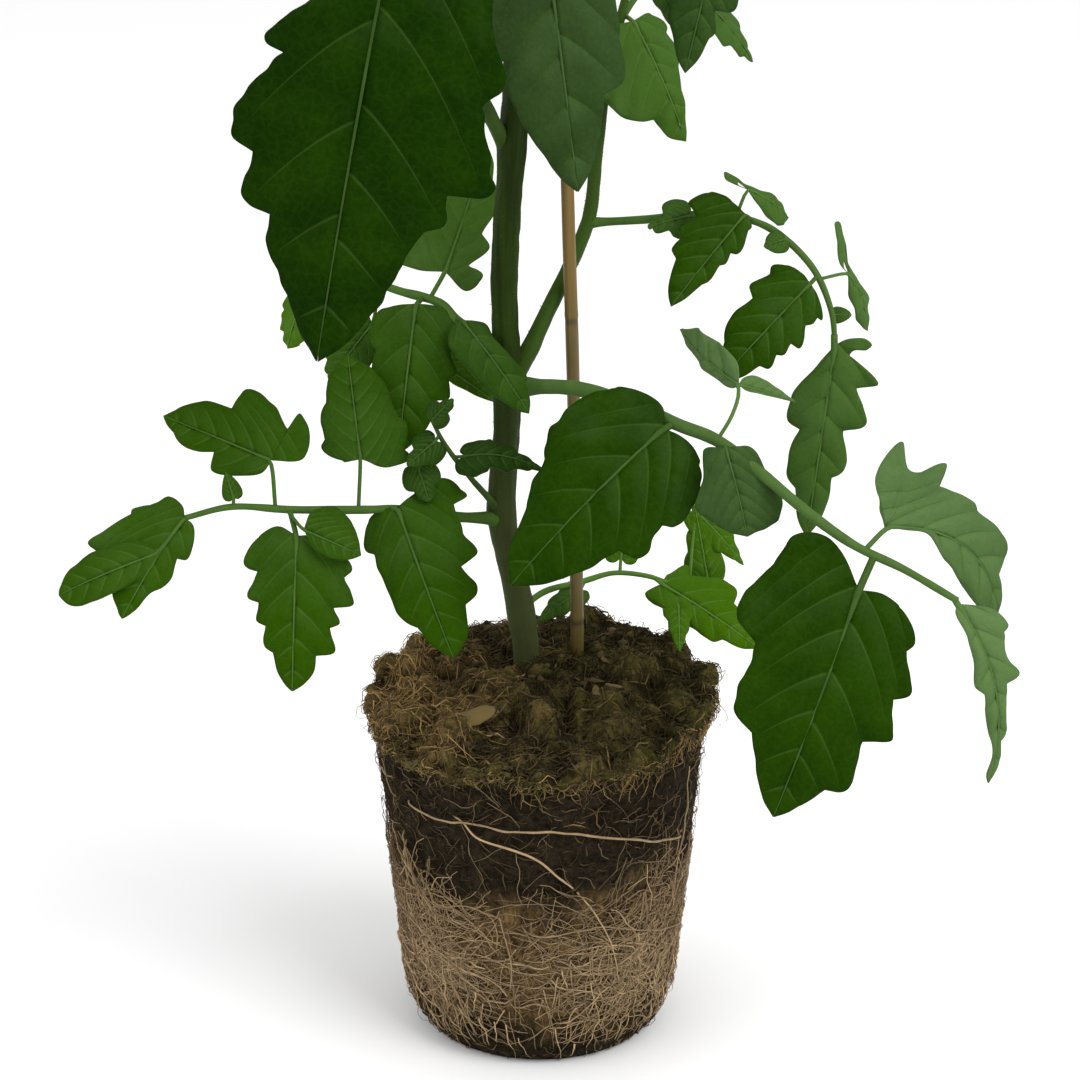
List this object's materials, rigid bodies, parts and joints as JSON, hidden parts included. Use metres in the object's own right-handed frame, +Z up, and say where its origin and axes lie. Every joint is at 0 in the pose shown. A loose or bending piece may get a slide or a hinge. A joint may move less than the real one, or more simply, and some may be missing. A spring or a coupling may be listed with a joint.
{
  "type": "young tomato plant with a bare root ball",
  "caption": "Young tomato plant lifted out of its nursery pot: a tapered peat root ball wrapped in roots, a stem with a side shoot, compound toothed leaves and a bamboo stake",
  "frame": {"origin": "Centre of the flat underside of the root ball", "axes": "+Z up along the stem; -Y is the front, the side the broad front leaf hangs on; +X to the right seen from the front"},
  "size_m": [0.2588, 0.1776, 0.4178],
  "materials": {
    "peat": "rough, fibrous and mossy",
    "root": "matt, fibrous",
    "stem": "satin, finely hairy",
    "bamboo": "satin",
    "leaf": "satin, slightly waxy"
  },
  "bodies": {
    "root": {"root_ball": "peat", "root_net": "root", "stem": "stem", "stake": "bamboo", "leaf_right_low": "leaf", "leaf_right_high": "leaf", "leaf_left_low": "leaf", "leaf_left_high": "leaf", "leaf_base_right": "leaf", "leaf_front": "leaf", "leaf_front_right": "leaf", "leaf_shoot": "leaf", "shoot_left": "leaf", "leaf_crown_1": "leaf", "leaf_crown_2": "leaf", "leaf_crown_3": "leaf", "leaf_crown_4": "leaf", "leaf_crown_5": "leaf", "leaf_crown_6": "leaf"}
  },
  "joints": []
}
